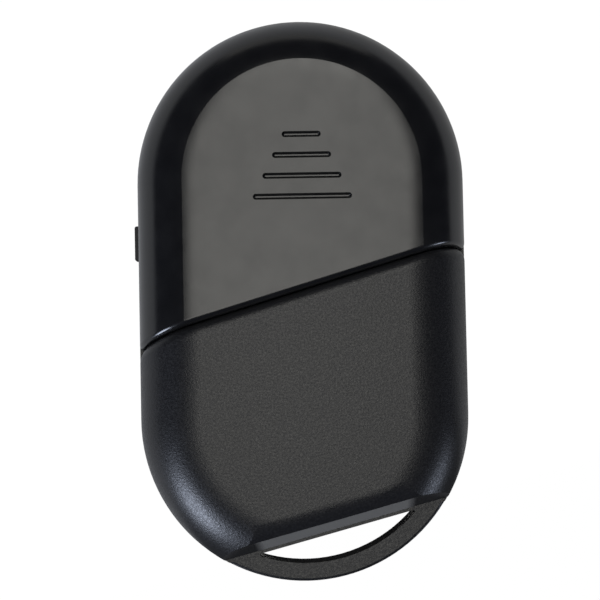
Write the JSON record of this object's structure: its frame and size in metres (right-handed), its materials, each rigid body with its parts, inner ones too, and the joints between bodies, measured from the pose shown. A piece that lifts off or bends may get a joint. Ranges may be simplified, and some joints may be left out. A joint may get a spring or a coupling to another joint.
{
  "type": "bluetooth camera shutter remote",
  "caption": "Pill-shaped key-ring remote for a phone camera, with front buttons, a side power switch, a sliding battery cover and a moulded lanyard loop.",
  "frame": {"origin": "on the front face, below the middle of the part as it lies on its buttons", "axes": "+Z out of the back, +Y along the length to the round top end, +X to the right seen from the back; the lanyard loop is at -Y and the power switch at -X"},
  "size_m": [0.0355, 0.06, 0.011],
  "materials": {
    "shell_plastic": "fine spark texture, black",
    "cover_plastic": "satin, black",
    "panel_plastic": "smooth, black",
    "button_plastic": "satin",
    "knob_plastic": "satin",
    "clear_plastic": "clear, polished",
    "board_green": "solder mask",
    "switch_plastic": "moulded",
    "plunger_plastic": "moulded",
    "tinned_steel": "tinned",
    "chip_resin": "moulded resin",
    "led_resin": "clear resin",
    "chip_ceramic": "fired",
    "resistor_ceramic": "fired",
    "gold_copper": "gold-plated copper",
    "contact_steel": "nickel-plated spring steel",
    "cell_steel": "nickel-plated",
    "seal_plastic": "moulded",
    "screw_steel": "zinc-plated"
  },
  "bodies": {
    "housing": {"front_shell": "shell_plastic", "front_panel": "panel_plastic", "rear_shell": "shell_plastic", "light_pipe": "clear_plastic", "circuit_board": "board_green", "shutter_switch_base": "switch_plastic", "second_switch_base": "switch_plastic", "push_switch_frames": "tinned_steel", "slide_switch_base": "switch_plastic", "slide_switch_shell": "tinned_steel", "radio_chip": "chip_resin", "memory_chip": "chip_resin", "crystal": "tinned_steel", "status_led": "led_resin", "capacitors": "chip_ceramic", "resistors": "resistor_ceramic", "antenna": "gold_copper", "negative_contact": "contact_steel", "positive_contact": "contact_steel", "cell_can": "cell_steel", "cell_cap": "cell_steel", "cell_seal": "seal_plastic", "case_screws": "screw_steel"},
    "cover": {"battery_cover": "cover_plastic"},
    "shutter": {"shutter_button": "button_plastic", "shutter_switch_plunger": "plunger_plastic"},
    "second": {"second_button": "button_plastic", "second_switch_plunger": "plunger_plastic"},
    "power": {"switch_knob": "knob_plastic", "slide_switch_lever": "switch_plastic"}
  },
  "joints": [
    {"name": "cover_slide", "type": "slide", "parent": "housing", "child": "cover", "axis": [0, 1, 0], "range_m": [0, 0.03]},
    {"name": "shutter_press", "type": "slide", "parent": "housing", "child": "shutter", "axis": [0, 0, 1], "range_m": [0, 0.0003], "stiffness_N_per_m": 4000},
    {"name": "second_press", "type": "slide", "parent": "housing", "child": "second", "axis": [0, 0, 1], "range_m": [0, 0.0003], "stiffness_N_per_m": 4000},
    {"name": "power_slide", "type": "slide", "parent": "housing", "child": "power", "axis": [0, 1, 0], "range_m": [0, 0.002]}
  ]
}
